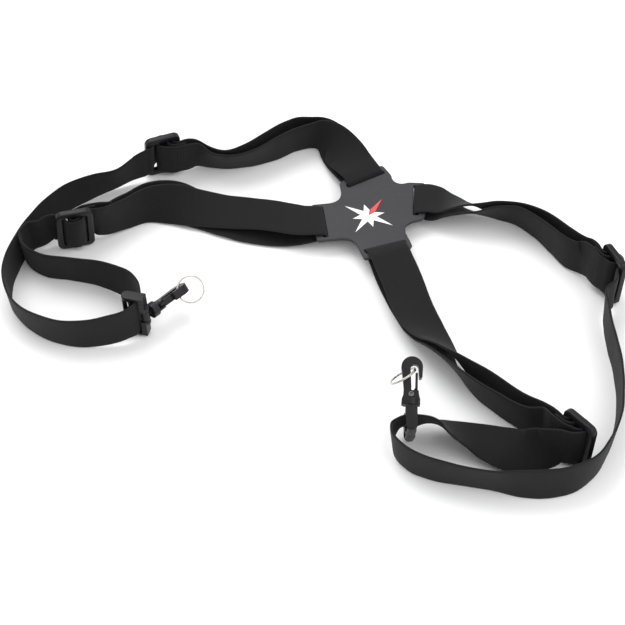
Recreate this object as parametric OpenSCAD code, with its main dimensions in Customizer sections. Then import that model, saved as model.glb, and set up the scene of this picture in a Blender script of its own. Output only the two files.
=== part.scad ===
// Figure-8 harness for binoculars: one elastic webbing on each side of a flat back pad,
// four sliders that set its length, and two swivel snap hooks with split rings.
// Millimetres, +Z up. The harness lies on a flat surface, z = 0, with its front towards -Y.

/* [Webbing] */
// Width of the elastic webbing
web_w = 25.4; // [24:0.2:26]
// Thickness of the webbing
web_t = 1.5; // [1.2:0.1:1.6]

/* [Back pad] */
// Thickness of the face layer of the pad
face_t = 1.6; // [1.2:0.1:2]
// Thickness of the lining under the face
lining_t = 1.2; // [0.8:0.1:1.4]
// Length of each webbing slot in the pad
slot_l = 27; // [26.6:0.2:28]
// Width of each webbing slot in the pad
slot_w = 4; // [3.6:0.2:5]
// Outer diameter of the printed compass star
star_d = 34; // [28:1:36]

/* [Sliders] */
// Length of a slider along the webbing
slider_l = 23; // [22.4:0.2:24]
// Width of a slider across the webbing
slider_w = 34; // [33:0.5:35]
// Thickness of a slider
slider_t = 4; // [3.6:0.1:4]

/* [Snap hooks] */
// Thickness of the hook across its flat
hook_t = 5.2; // [5:0.1:5.6]
// Distance from the swivel to the tip of the bow
hook_l = 32; // [31.5:0.5:33]
// Width of the webbing keeper, across the webbing
keeper_w = 30; // [29.5:0.5:31]

/* [Split rings] */
// Outer diameter of a split ring
ring_d = 17.2; // [16:0.2:18]
// Diameter of the ring's doubled wire
ring_wire = 1.3; // [1:0.1:1.4]

/* [Hidden] */

// Middle of the footprint, and the height of the lowest point: this becomes the origin
middle = [0.414, 5.4, -0.184];

// ---------- Vectors and swept webbing ----------
function unit(v) = v / norm(v);
// Catmull-Rom interpolation of stations, u from 0 to the number of stations less one
function station(s, i) = s[min(max(i, 0), len(s) - 1)];
function blend4(a, b, c, d, t) =
    0.5 * ((2 * b) + (c - a) * t + (2 * a - 5 * b + 4 * c - d) * t * t + (3 * b - a - 3 * c + d) * t * t * t);
function at(s, u) =
    let (i = min(floor(u), len(s) - 2))
    blend4(station(s, i - 1), station(s, i), station(s, i + 1), station(s, i + 2), u - i);
function part3(v, i) = [v[i], v[i + 1], v[i + 2]];
// Ring of four corners at parameter u: the section is web_t thick and width w wide
function section(s, u, w, t) =
    let (
        e = 0.02,
        p = part3(at(s, u), 0),
        tangent = unit(part3(at(s, min(u + e, len(s) - 1)), 0) - part3(at(s, max(u - e, 0)), 0)),
        raw = part3(at(s, u), 3),
        across = unit(raw - (raw * tangent) * tangent),
        up = cross(tangent, across)
    )
    [for (k = [[-1, -1], [1, -1], [1, 1], [-1, 1]]) p + across * k[0] * w / 2 + up * k[1] * t / 2];
// Each station is [x, y, z, wx, wy, wz]: a point of the middle line and the direction of the width
module ribbon(s, steps = 3, w = web_w, t = web_t) {
    n = (len(s) - 1) * steps;
    points = [for (i = [0 : n]) each section(s, i / steps, w, t)];
    sides = [for (i = [0 : n - 1], k = [0 : 3]) each [
        [4 * i + k, 4 * i + (k + 1) % 4, 4 * i + 4 + (k + 1) % 4],
        [4 * i + k, 4 * i + 4 + (k + 1) % 4, 4 * i + 4 + k],
    ]];
    ends = [[3, 2, 1], [3, 1, 0], [4 * n, 4 * n + 1, 4 * n + 2], [4 * n, 4 * n + 2, 4 * n + 3]];
    polyhedron(points, concat(sides, ends), convexity = 10);
}

// ---------- Back pad ----------
pad_centre = [35, 72, 8.4];
pad_t = face_t + lining_t;
// The four slots: centre measured from the pad's centre, and the direction in which the webbing leaves
UP_SLOT = [-1, 33.5, 120];
RIGHT_SLOT = [29.5, 14.5, -3];
LEFT_SLOT = [-28, -5, 187];
LOW_SLOT = [9.6, -26.3, 289];
SLOTS = [UP_SLOT, RIGHT_SLOT, LEFT_SLOT, LOW_SLOT];
bar_beyond_slot = 4.5;
arm_side = 2.6;
// The webbing turns down through a slot, round the bar beyond it: [distance outwards, height] above the pad's base
HAIRPIN = [[7, 4.7], [3.4, 4.2], [1, 3.5], [-0.2, 1.4], [1, -0.7], [3.4, -1.3], [7, -1.7]];
function hairpin(slot, turn) =
    let (out = [cos(slot[2]), sin(slot[2])], base = [pad_centre[0] + slot[0], pad_centre[1] + slot[1]])
    [for (h = HAIRPIN) [base[0] + out[0] * h[0], base[1] + out[1] * h[0], pad_centre[2] + h[1],
        -turn * out[1], turn * out[0], 0]];

module at_pad(height) { translate(pad_centre - middle + [0, 0, height]) children(); }
module arm_end(slot, extra) {
    translate([slot[0], slot[1]]) rotate(slot[2])
        translate([-slot_w / 2 - 3, -slot_l / 2 - arm_side + extra])
            square([slot_w + 3 + bar_beyond_slot - extra, slot_l + 2 * (arm_side - extra)]);
}
module pad_outline(extra) {
    difference() {
        offset(r = -4) offset(delta = 4) union() {
            for (s = SLOTS) hull() {
                arm_end(s, extra);
                circle(d = 27);
            }
        }
        for (s = SLOTS) translate([s[0], s[1]]) rotate(s[2]) square([slot_w, slot_l], center = true);
    }
}
module pad_face() {
    color("#3a3a3e") at_pad(lining_t)
        linear_extrude(face_t) pad_outline(0);
}
module pad_lining() {
    color("#1d1d20") at_pad(0)
        linear_extrude(lining_t) pad_outline(0.6);
}
// Printed compass star: three long white points, four short ones, and a red north point in a gap of its own
star_t = 0.25;
star_notch = [0, 0.5];
function star_reach(k) = k % 2 == 1 ? star_d * 0.15 : k % 4 == 0 ? star_d / 2 : star_d * 0.3;
module emblem_star() {
    color("white") at_pad(pad_t) rotate(-30) linear_extrude(star_t)
        polygon(concat([star_notch], [for (k = [1 : 15]) star_reach(k) * [sin(22.5 * k), cos(22.5 * k)]]));
}
module emblem_needle() {
    color("red") at_pad(pad_t) rotate(-30) linear_extrude(star_t)
        polygon([[0, 1.7], [1.7, 5.4], [0, star_d / 2], [-1.7, 5.4]]);
}

// ---------- Webbing routes: [x, y, z, wx, wy, wz] ----------
LEFT_SHOULDER = concat([
    [-73.8, 123.2, 14.8, 0, -0.22, 0.97], [-66, 122.4, 12.4, 0, -0.4, 0.91], [-54, 121.5, 11.3, 0.05, -0.48, 0.87],
    [-38, 125, 11.8, 0.08, -0.4, 0.91], [-23, 133, 12.7, 0.06, -0.2, 0.98], [-9, 142, 12.8, 0.05, -0.2, 0.98],
    [3, 145, 13, 0.2, -0.1, 0.97], [12, 139.5, 13.4, 0.5, 0.2, 0.84], [20, 129, 13.2, 0.75, 0.4, 0.5],
    [26, 119, 13.1, 0.85, 0.5, 0.15]],
    hairpin(UP_SLOT, -1), [
    [25, 120.5, 7.6, 0.85, 0.5, 0.12], [17.5, 133, 9.6, 0.72, 0.4, 0.56], [9.5, 144, 12.3, 0.4, 0.2, 0.9],
    [0, 149.8, 12.8, 0.1, -0.1, 1], [-9, 150, 12.8, 0, -0.1, 1], [-18, 146, 12.8, 0.03, -0.1, 1],
    [-30, 137, 12.7, 0.05, -0.15, 0.99], [-44, 128.5, 12.2, 0.05, -0.35, 0.94], [-57, 125.3, 11.7, 0.05, -0.45, 0.89],
    [-68, 126.6, 13, 0.03, -0.36, 0.93], [-76.1, 126.6, 15.2, 0.03, -0.22, 0.97]]);
LEFT_SIDE = concat([
    [-127.5, 67.4, 16, 0.03, -0.05, 1], [-117, 75.2, 13.7, 0.03, 0.05, 1], [-103, 84.5, 12.8, 0, 0.25, 0.97],
    [-87, 86.2, 10.4, 0, 0.65, 0.76], [-73, 83.2, 6, 0, 0.91, 0.41], [-64, 80.2, 4.4, 0, 0.95, 0.27],
    [-54, 76, 2.8, 0, 0.98, 0.1], [-40, 71, 1.6, 0, 1, 0.02], [-26, 68, 1.5, 0, 1, 0], [-13, 66.5, 3, 0, 1, 0]],
    [for (i = [6 : -1 : 0]) hairpin(LEFT_SLOT, -1)[i]], [
    [-7, 66.5, 12.8, 0, 1, 0], [-17, 70, 11.5, -0.03, 1, 0.02], [-28, 74, 10, 0, 1, 0.04],
    [-41, 77, 8.5, 0, 0.99, 0.1], [-56, 79.5, 7.7, 0, 0.97, 0.2], [-72, 82, 8.4, 0, 0.91, 0.41],
    [-87, 82.8, 11, 0, 0.65, 0.76], [-103, 80.3, 12.7, 0, 0.25, 0.97], [-117, 71.2, 13.6, 0.03, 0.05, 1],
    [-127.5, 63.4, 16, 0.03, -0.05, 1]]);
LEFT_FRONT = [
    [-113, 111, 15.3, 0.12, -0.2, 0.97], [-124, 104.5, 12.7, 0.2, -0.27, 0.94], [-139, 97, 12.6, 0.12, -0.15, 0.98],
    [-153, 87.5, 12.8, 0.06, -0.06, 1], [-165, 73, 12.8, 0, 0, 1], [-174, 56, 12.8, -0.03, 0, 1],
    [-180.5, 38, 12.8, -0.06, 0, 1], [-184, 20, 12.8, -0.1, 0, 1], [-182.5, 4, 12.8, -0.1, -0.05, 1],
    [-173, -13, 12.5, -0.15, -0.17, 0.97], [-159, -23.5, 12.6, -0.08, -0.15, 0.98], [-145, -28.5, 12.7, -0.03, -0.13, 0.99],
    [-131, -29, 13, 0, -0.08, 1], [-119.5, -27.3, 14.2, 0, -0.04, 1], [-109.8, -24.6, 15.8, -0.03, -0.03, 1],
    [-104.5, -20.8, 16.2, -0.05, 0, 1], [-102.8, -16, 16.2, -0.05, 0, 1], [-101.6, -9.5, 16.2, -0.04, 0, 1],
    [-103, -2, 15.8, 0, 0, 1], [-108, 6.5, 14.8, 0.02, 0, 1], [-116.5, 13.8, 13.5, 0, -0.04, 1],
    [-128.5, 20, 12.8, -0.04, -0.1, 0.99], [-147.5, 24.5, 12.6, -0.05, -0.19, 0.98], [-164, 28, 12.5, -0.1, -0.18, 0.97],
    [-174.5, 36.5, 12.6, -0.12, -0.1, 0.99], [-177.6, 44.6, 12.8, -0.08, -0.04, 0.99], [-173.8, 51.3, 13.6, -0.03, -0.05, 0.99],
    [-166, 53.3, 15.8, 0.03, -0.14, 0.99]];
RIGHT_SHOULDER = concat([
    [164.2, 30.2, 15, 0, 0, 1], [155.5, 37, 13.6, -0.02, -0.03, 1], [146.5, 49.5, 12.9, -0.06, -0.1, 1],
    [137.5, 61.3, 12.7, -0.1, -0.2, 0.98], [126, 71, 12.3, -0.1, -0.33, 0.93], [113, 74.3, 11.6, -0.1, -0.5, 0.86],
    [103, 75.5, 10.2, -0.05, -0.68, 0.73], [95, 77.5, 9.2, 0, -0.8, 0.6], [86, 80.5, 8, 0, -0.93, 0.37],
    [78, 83.5, 6.9, 0, -1, 0.05]],
    [for (i = [6 : -1 : 0]) hairpin(RIGHT_SLOT, -1)[i]], [
    [79, 84.5, 12.8, 0, -1, 0.05], [87, 82.8, 12.4, 0, -0.93, 0.37], [95, 80.8, 12.9, 0, -0.8, 0.6],
    [103, 79.2, 13.3, -0.05, -0.68, 0.73], [113, 77.8, 13, -0.1, -0.5, 0.86], [126, 74.6, 12.9, -0.1, -0.33, 0.93],
    [140.5, 67, 12.8, -0.1, -0.2, 0.98], [151, 56, 12.9, -0.06, -0.1, 1], [160, 44, 13.5, -0.02, -0.03, 1],
    [168.5, 33.5, 15.3, 0, 0, 1]]);
RIGHT_SIDE = concat([
    [129, -101, 16, 0.05, 0.03, 1], [121.5, -96.3, 13.9, 0, -0.12, 0.99], [112.5, -89.2, 12.9, -0.04, -0.2, 0.98],
    [104.5, -82, 12.6, -0.05, -0.22, 0.97], [94, -72, 12.5, -0.1, -0.28, 0.95], [83.5, -58, 12.1, -0.28, -0.35, 0.9],
    [75.5, -43, 10.2, -0.52, -0.42, 0.74], [70.3, -29.5, 6.8, -0.75, -0.47, 0.45], [66.3, -16, 3.4, -0.88, -0.42, 0.15],
    [61.5, -2, 1.8, -0.93, -0.35, 0.03], [55.5, 14, 1.9, -0.95, -0.3, 0], [49.5, 31, 4.2, -0.95, -0.3, 0]],
    [for (i = [6 : -1 : 0]) hairpin(LOW_SLOT, -1)[i]], [
    [49.5, 31, 12.4, -0.95, -0.3, 0], [54, 17, 11, -0.95, -0.3, 0], [58.5, 0, 9.8, -0.93, -0.35, 0.04],
    [64, -16, 9.6, -0.88, -0.42, 0.18], [70.5, -29.5, 11.2, -0.75, -0.47, 0.45], [78, -41, 13.2, -0.5, -0.42, 0.75],
    [86.5, -52, 13.2, -0.25, -0.28, 0.93], [96, -61.5, 12.9, -0.1, -0.2, 0.98], [107, -71.5, 12.8, -0.05, -0.2, 0.98],
    [116, -80.5, 12.9, -0.05, -0.2, 0.98], [124.5, -89.5, 13.9, 0, -0.12, 0.99], [132, -98.5, 16, 0.05, 0.03, 1]]);
RIGHT_FRONT = [
    [174.5, -5.5, 15.5, -0.05, 0, 1], [174, -16, 13.8, -0.02, 0, 1], [174.5, -30, 12.9, 0, 0, 1],
    [176, -46, 12.8, 0, 0, 1], [176.5, -63, 12.8, 0.02, 0, 1], [175, -81, 12.8, 0.06, 0, 1],
    [171.5, -98, 12.8, 0.1, -0.02, 1], [165, -114, 12.8, 0.1, -0.05, 1], [155.5, -128.5, 12.8, 0.07, -0.07, 1],
    [143, -137, 12.8, 0, 0, 1], [129, -140.2, 12.8, 0, 0, 1], [116, -140.2, 12.8, 0, -0.05, 1],
    [103, -138.5, 12.6, -0.03, -0.2, 0.98], [90, -136, 12.5, -0.05, -0.25, 0.97], [77, -133, 12.6, -0.05, -0.22, 0.97],
    [64, -129, 12.7, -0.06, -0.16, 0.98], [52, -122, 13, -0.1, -0.1, 0.99], [45, -112, 14.2, -0.1, -0.12, 0.99],
    [45.3, -104, 16.2, -0.08, -0.32, 0.94], [49.3, -100.4, 18, 0, -0.43, 0.9], [54.8, -99.8, 18.6, 0, -0.44, 0.9],
    [60.8, -99.9, 18.2, 0, -0.44, 0.9], [70.5, -99.2, 15, -0.03, -0.7, 0.71], [80, -101, 11.6, -0.03, -0.88, 0.47],
    [93, -104.5, 8.5, 0, -0.99, 0.12], [106, -110.6, 8.4, 0, -0.97, -0.22], [117.5, -115.4, 9.8, 0.02, -0.82, -0.57],
    [128.6, -116.4, 14.6, 0, -0.42, -0.9]];

module webbing(route) { color("#1c1c1f") translate(-middle) ribbon(route); }
module left_shoulder_webbing() { webbing(LEFT_SHOULDER); }
module left_side_webbing() { webbing(LEFT_SIDE); }
module left_front_webbing() { webbing(LEFT_FRONT); }
module right_shoulder_webbing() { webbing(RIGHT_SHOULDER); }
module right_side_webbing() { webbing(RIGHT_SIDE); }
module right_front_webbing() { webbing(RIGHT_FRONT); }

// ---------- Sliders ----------
// A slider's own frame: X along the webbing, -Y the side of the sewn end, Z across the webbing.
// Each place is [centre, lean, turn, mirrored], and the sewn end leaves towards -X.
LEFT_SHOULDER_SLIDER = [[-96, 122.5, 17.2], 9, 21, true];
LEFT_SIDE_SLIDER = [[-146, 54.7, 17.2], -9, 194, false];
RIGHT_SHOULDER_SLIDER = [[179.7, 16, 17], -4, -66, false];
RIGHT_SIDE_SLIDER = [[146.8, -112.2, 17], -5, -50, false];
slider_bar = 4;
bar_t = 3;
rim = 4;
module at_slider(place) {
    translate(place[0] - middle) rotate([place[1], 0, place[2]]) mirror([place[3] ? 1 : 0, 0, 0]) children();
}
module rounded_box(l, t, w, r) {
    rotate([90, 0, 0]) linear_extrude(t, center = true) union() {
        square([l - 2 * r, w], center = true);
        square([l, w - 2 * r], center = true);
        for (x = [-1, 1], z = [-1, 1]) translate([x * (l / 2 - r), z * (w / 2 - r)]) circle(r, $fn = 32);
    }
}
module slider_frame() {
    window = (slider_l - 2 * rim - slider_bar) / 2;
    difference() {
        rounded_box(slider_l, slider_t, slider_w, 4.5);
        for (x = [-1, 1]) translate([x * (slider_bar + window) / 2, 0, 0])
            cube([window, slider_t + 2, slider_w - 2 * rim], center = true);
        for (y = [-1, 1]) translate([0, y * (bar_t + 2) / 2, 0])
            cube([slider_bar + 0.2, 2, slider_w - 2 * rim], center = true);
    }
}
// Routes in the slider's own frame, as [x, y]: the width always lies along Z
PASS_NEAR = [[-13.5, -3], [-11.3, -3.2], [-8.6, -3], [-6.3, 0.2], [-4.4, 3.4], [-2, 4.7], [0, 5], [2, 4.7], [4.4, 3.4]];
PASS_OVER_RIM = [[6.3, 0.2], [8.6, -3], [11.3, -3.4], [13.5, -4]];
PASS_OUT = [[6.3, 0.2], [8.6, -3.2], [11, -4.5], [13.5, -5.8]];
PASS_BACK = [[5.6, 0.8], [5, -3], [2, -8], [-3, -11.5]];
WRAP = [[-14, -7.3], [-10, -7.2], [-5.5, -6.8], [-1.5, -5.2], [1.6, -3.8], [3.1, -1.6], [3, 0.6], [1.2, 2.6], [-1.2, 2.6],
    [-3, 0.6], [-3.2, -1.6], [-4.6, -3.8], [-7, -5], [-10, -5.4], [-14, -5.5]];
function upright(route) = [for (p = route) [p[0], p[1], 0, 0, 0, 1]];
module slider_pass(place, far) {
    color("#1c1c1f") at_slider(place) ribbon(upright(concat(PASS_NEAR, far)), 2);
}
module slider_wrap(place) {
    color("#1c1c1f") at_slider(place) ribbon(upright(WRAP), 2);
}
module left_shoulder_slider() { color("#2b2b2e") at_slider(LEFT_SHOULDER_SLIDER) slider_frame(); }
module left_side_slider() { color("#2b2b2e") at_slider(LEFT_SIDE_SLIDER) slider_frame(); }
module right_shoulder_slider() { color("#2b2b2e") at_slider(RIGHT_SHOULDER_SLIDER) slider_frame(); }
module right_side_slider() { color("#2b2b2e") at_slider(RIGHT_SIDE_SLIDER) slider_frame(); }
module left_shoulder_pass() { slider_pass(LEFT_SHOULDER_SLIDER, PASS_OVER_RIM); }
module left_side_pass() { slider_pass(LEFT_SIDE_SLIDER, PASS_OVER_RIM); }
module right_shoulder_pass() { slider_pass(RIGHT_SHOULDER_SLIDER, PASS_OUT); }
module right_side_pass() { slider_pass(RIGHT_SIDE_SLIDER, PASS_BACK); }
module left_shoulder_wrap() { slider_wrap(LEFT_SHOULDER_SLIDER); }
module left_side_wrap() { slider_wrap(LEFT_SIDE_SLIDER); }
module right_shoulder_wrap() { slider_wrap(RIGHT_SHOULDER_SLIDER); }
module right_side_wrap() { slider_wrap(RIGHT_SIDE_SLIDER); }

// ---------- Snap hooks ----------
// A keeper's own frame: X outwards from the webbing, Y along it, Z across it; its place is [centre, roll, dip, turn].
// The swivel pin is at swivel_x; the hook leaves it at an angle in the XY plane.
LEFT_KEEPER = [[-102.8, -16, 16.2], 0, -3, -15];
RIGHT_KEEPER = [[54.8, -99.8, 18.6], 0, -26, 90];
LEFT_YAW = 60;
RIGHT_YAW = -3;
swivel_x = 4.6;
keeper_l = 6.6;
keeper_slot = 3.8;
inner_d = 7;
plate_t = 3.4;
module at_keeper(place) { translate(place[0] - middle) rotate([place[1], place[2], place[3]]) children(); }
module at_swivel(place, yaw) { at_keeper(place) translate([swivel_x, 0, 0]) rotate(yaw) children(); }
pin_r = 1.5;
pin_gap = 0.06;
knuckle_d = 5.2;
fork_z = 6.2;
tine = 2.4;
module keeper() {
    plate_x = keeper_slot / 2;
    wall = (keeper_w - 27) / 2;
    difference() {
        union() {
            // inner block that the webbing turns round, with its rounded back
            translate([-plate_x - inner_d + keeper_l / 2, 0, 0]) cylinder(h = keeper_w, d = keeper_l, center = true, $fn = 48);
            translate([-plate_x - (inner_d - keeper_l / 2) / 2, 0, 0])
                cube([inner_d - keeper_l / 2, keeper_l, keeper_w], center = true);
            for (z = [-1, 1]) {
                // end wall, and one arm of the outer plate with its side of the fork
                translate([(plate_t - inner_d / 2) / 2, 0, z * (keeper_w - wall) / 2])
                    cube([keeper_slot + plate_t + inner_d / 2, keeper_l, wall], center = true);
                translate([plate_x + plate_t / 2, 0, z * (fork_z - tine + keeper_w / 2) / 2])
                    cube([plate_t, keeper_l, keeper_w / 2 - fork_z + tine], center = true);
                translate([swivel_x, 0, z * (fork_z - tine / 2)])
                    cylinder(h = tine, d = knuckle_d + 0.2, center = true, $fn = 40);
            }
        }
        // pockets moulded into the inner block
        translate([-plate_x - inner_d / 2 - 0.3, 0, 0]) rotate([90, 0, 0]) linear_extrude(keeper_l + 2, center = true)
            for (z = [-1, 1]) translate([0, z * 7]) square([3.2, 10.5], center = true);
    }
    translate([swivel_x, 0, 0]) cylinder(h = 2 * fork_z - tine / 2, r = pin_r, center = true, $fn = 40);
}
// The swivel: a barrel on the keeper's pin and a headed post that the hook turns on
barrel_h = 7;
post_r = 1.4;
post_head_x = 6.2;
module swivel() {
    difference() {
        union() {
            cylinder(h = barrel_h, d = knuckle_d, center = true, $fn = 40);
            rotate([0, 90, 0]) cylinder(h = post_head_x + 0.5, r = post_r, $fn = 40);
            translate([post_head_x, 0, 0]) rotate([0, 90, 0]) cylinder(h = 1, r = 2.4, $fn = 40);
        }
        cylinder(h = barrel_h + 1, r = pin_r + pin_gap, center = true, $fn = 40);
    }
}
// The hook: a collar round the post, then the flat body with its bow; the gate closes its -Y side
collar_x = 3.7;
collar_l = 4.2;
rivet_x = 9.9;
rivet_r = 1.2;
bow_r = 6.1;
eye = [hook_l - 6.6, -1.35, 0];
module hook_profile() {
    bow_x = hook_l - bow_r;
    difference() {
        union() {
            translate([bow_x, 0]) circle(bow_r, $fn = 64);
            // spine and root
            polygon([[bow_x, bow_r], [19, 5], [13.4, 4.3], [rivet_x, 4.4], [7.4, 5.1], [collar_x, 4.4],
                [collar_x, -4.4], [7.4, -5.1], [rivet_x, -4.5], [12.4, -4.1], [12.4, 0], [bow_x, 0]]);
            // nib
            polygon([[bow_x, -bow_r], [20.4, -6], [19.5, -5.4], [19.5, -4], [bow_x, -3.4]]);
        }
        // the eye and its long throat
        translate([eye[0], eye[1]]) circle(2.25, $fn = 48);
        polygon([[eye[0], 0.9], [13.6, -0.05], [13.6, -4.3], [19, -4.2], [22.9, -3.9], [eye[0], -3.6]]);
    }
}
module hook() {
    difference() {
        union() {
            linear_extrude(hook_t, center = true) hook_profile();
            translate([collar_x, 0, 0]) rotate([0, 90, 0]) cylinder(h = collar_l, d = 9.4, $fn = 48);
        }
        // bore for the post and a pocket for its head
        rotate([0, 90, 0]) cylinder(h = 7, r = post_r + pin_gap, $fn = 40);
        translate([post_head_x - 0.3, 0, 0]) rotate([0, 90, 0]) cylinder(h = 1.6, r = 2.7, $fn = 40);
        // slot that the gate's root sits in, and the rivet's hole
        translate([rivet_x + 0.6, -1.6, 0]) cube([6, 8, 2.6], center = true);
        translate([rivet_x, 0, 0]) cylinder(h = hook_t + 1, r = rivet_r, center = true, $fn = 32);
    }
}
module rivet() {
    translate([rivet_x, 0, 0]) {
        cylinder(h = hook_t + 0.4, r = rivet_r - 0.04, center = true, $fn = 32);
        for (z = [-1, 1]) translate([0, 0, z * (hook_t / 2 + 0.35)]) cylinder(h = 0.7, r = 1.7, center = true, $fn = 32);
    }
}
// The gate: a thin eye on the rivet and a springy finger that closes against the nib
module gate() {
    linear_extrude(2, center = true) difference() {
        union() {
            translate([rivet_x, 0]) circle(2.2, $fn = 40);
            polygon([[rivet_x - 1.4, -1.4], [rivet_x + 0.3, -3.2], [12.8, -3.6], [14, -3.5], [14, -2.2], [12, -0.8],
                [rivet_x + 1.4, 1.2]]);
        }
        translate([rivet_x, 0]) circle(rivet_r + 0.04, $fn = 32);
    }
    linear_extrude(4.2, center = true) polygon([[12.9, -3.6], [22.6, -3.4], [22.6, -2.1], [13.2, -2.2]]);
}
// Where each ring's wire passes through its hook's eye, and its turn about that point
LEFT_RING = [[25.3, -1.6, 1.5], [163, 28, -35]];
RIGHT_RING = [[25.5, -1.7, -0.6], [155, 10, 122]];
module ring(place) {
    translate(place[0]) rotate(place[1]) translate([ring_d / 2 - ring_wire / 2, 0, 0]) rotate([90, 0, 0])
        rotate_extrude($fn = 96) translate([ring_d / 2 - ring_wire / 2, 0]) circle(ring_wire / 2, $fn = 24);
}
// Spin of each hook about its own post
LEFT_SPIN = -40;
RIGHT_SPIN = 0;
module at_hook(place, yaw, spin) { at_swivel(place, yaw) rotate([spin, 0, 0]) children(); }

module left_keeper() { color("#2b2b2e") at_keeper(LEFT_KEEPER) keeper(); }
module left_swivel() { color("#2b2b2e") at_swivel(LEFT_KEEPER, LEFT_YAW) swivel(); }
module left_hook() { color("#2b2b2e") at_hook(LEFT_KEEPER, LEFT_YAW, LEFT_SPIN) hook(); }
module left_rivet() { color("#55555a") at_hook(LEFT_KEEPER, LEFT_YAW, LEFT_SPIN) rivet(); }
module left_gate() { color("#2b2b2e") at_hook(LEFT_KEEPER, LEFT_YAW, LEFT_SPIN) gate(); }
module left_ring() { color("silver") at_hook(LEFT_KEEPER, LEFT_YAW, LEFT_SPIN) ring(LEFT_RING); }
module right_keeper() { color("#2b2b2e") at_keeper(RIGHT_KEEPER) keeper(); }
module right_swivel() { color("#2b2b2e") at_swivel(RIGHT_KEEPER, RIGHT_YAW) swivel(); }
module right_hook() { color("#2b2b2e") at_hook(RIGHT_KEEPER, RIGHT_YAW, RIGHT_SPIN) hook(); }
module right_rivet() { color("#55555a") at_hook(RIGHT_KEEPER, RIGHT_YAW, RIGHT_SPIN) rivet(); }
module right_gate() { color("#2b2b2e") at_hook(RIGHT_KEEPER, RIGHT_YAW, RIGHT_SPIN) gate(); }
module right_ring() { color("silver") at_hook(RIGHT_KEEPER, RIGHT_YAW, RIGHT_SPIN) ring(RIGHT_RING); }

pad_face();
pad_lining();
emblem_star();
emblem_needle();
left_shoulder_webbing();
left_side_webbing();
left_front_webbing();
right_shoulder_webbing();
right_side_webbing();
right_front_webbing();
left_shoulder_slider();
left_shoulder_pass();
left_shoulder_wrap();
left_side_slider();
left_side_pass();
left_side_wrap();
right_shoulder_slider();
right_shoulder_pass();
right_shoulder_wrap();
right_side_slider();
right_side_pass();
right_side_wrap();
left_keeper();
left_swivel();
left_hook();
left_rivet();
left_gate();
left_ring();
right_keeper();
right_swivel();
right_hook();
right_rivet();
right_gate();
right_ring();
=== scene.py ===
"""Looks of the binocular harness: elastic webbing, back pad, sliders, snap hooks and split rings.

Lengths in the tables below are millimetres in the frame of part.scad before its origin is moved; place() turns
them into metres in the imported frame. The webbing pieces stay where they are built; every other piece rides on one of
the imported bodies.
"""
import math

import bmesh
import bpy
import numpy as np
from mathutils import Matrix, Vector


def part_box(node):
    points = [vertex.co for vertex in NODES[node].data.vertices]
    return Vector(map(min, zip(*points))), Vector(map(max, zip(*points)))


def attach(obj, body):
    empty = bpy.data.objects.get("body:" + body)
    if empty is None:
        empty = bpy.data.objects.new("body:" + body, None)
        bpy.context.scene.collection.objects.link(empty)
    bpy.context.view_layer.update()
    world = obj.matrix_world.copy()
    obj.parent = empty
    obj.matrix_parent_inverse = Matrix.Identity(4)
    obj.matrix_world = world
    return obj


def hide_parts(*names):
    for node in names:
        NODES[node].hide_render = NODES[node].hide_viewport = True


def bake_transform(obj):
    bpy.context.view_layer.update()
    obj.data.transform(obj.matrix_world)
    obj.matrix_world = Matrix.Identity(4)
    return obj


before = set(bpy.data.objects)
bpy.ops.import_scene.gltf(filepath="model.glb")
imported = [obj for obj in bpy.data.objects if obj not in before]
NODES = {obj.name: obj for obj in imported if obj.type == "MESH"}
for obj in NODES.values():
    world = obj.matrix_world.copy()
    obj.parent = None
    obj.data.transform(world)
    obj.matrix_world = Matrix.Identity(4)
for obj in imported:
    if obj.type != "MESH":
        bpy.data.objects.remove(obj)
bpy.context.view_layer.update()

MM = 0.001
MIDDLE = np.array([0.414, 5.4, -0.184])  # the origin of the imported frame, in the design
WEB_W = 25.4
WEB_T = 1.5


# ---------- Places and turns ----------
def place(points):
    """Points of the design, in millimetres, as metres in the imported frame."""
    return (np.asarray(points, float) - MIDDLE) * MM


def turned(x, y, z):
    """The rotation that turns by x, then y, then z degrees about the fixed axes."""
    a, b, c = (math.radians(k) for k in (x, y, z))
    return np.array(Matrix.Rotation(c, 3, "Z") @ Matrix.Rotation(b, 3, "Y") @ Matrix.Rotation(a, 3, "X"))


def unit(v):
    return v / np.linalg.norm(v, axis=-1, keepdims=True)


# ---------- Routes of the webbing: x, y, z of the middle line, then the direction of the width ----------
PAD = np.array([35, 72, 8.4])
UP_SLOT, RIGHT_SLOT, LEFT_SLOT, LOW_SLOT = (-1, 33.5, 120), (29.5, 14.5, -3), (-28, -5, 187), (9.6, -26.3, 289)
SLOTS = (UP_SLOT, RIGHT_SLOT, LEFT_SLOT, LOW_SLOT)  # middle from the pad's own, then the way out in degrees
HAIRPIN = [(7, 4.7), (3.4, 4.2), (1, 3.5), (-0.2, 1.4), (1, -0.7), (3.4, -1.3), (7, -1.7)]


def hairpin(slot):
    """The webbing turns down through a slot of the pad and comes back under it."""
    a = math.radians(slot[2])
    out = (math.cos(a), math.sin(a))
    return [(PAD[0] + slot[0] + out[0] * d, PAD[1] + slot[1] + out[1] * d, PAD[2] + h, out[1], -out[0], 0)
            for d, h in HAIRPIN]


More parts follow.
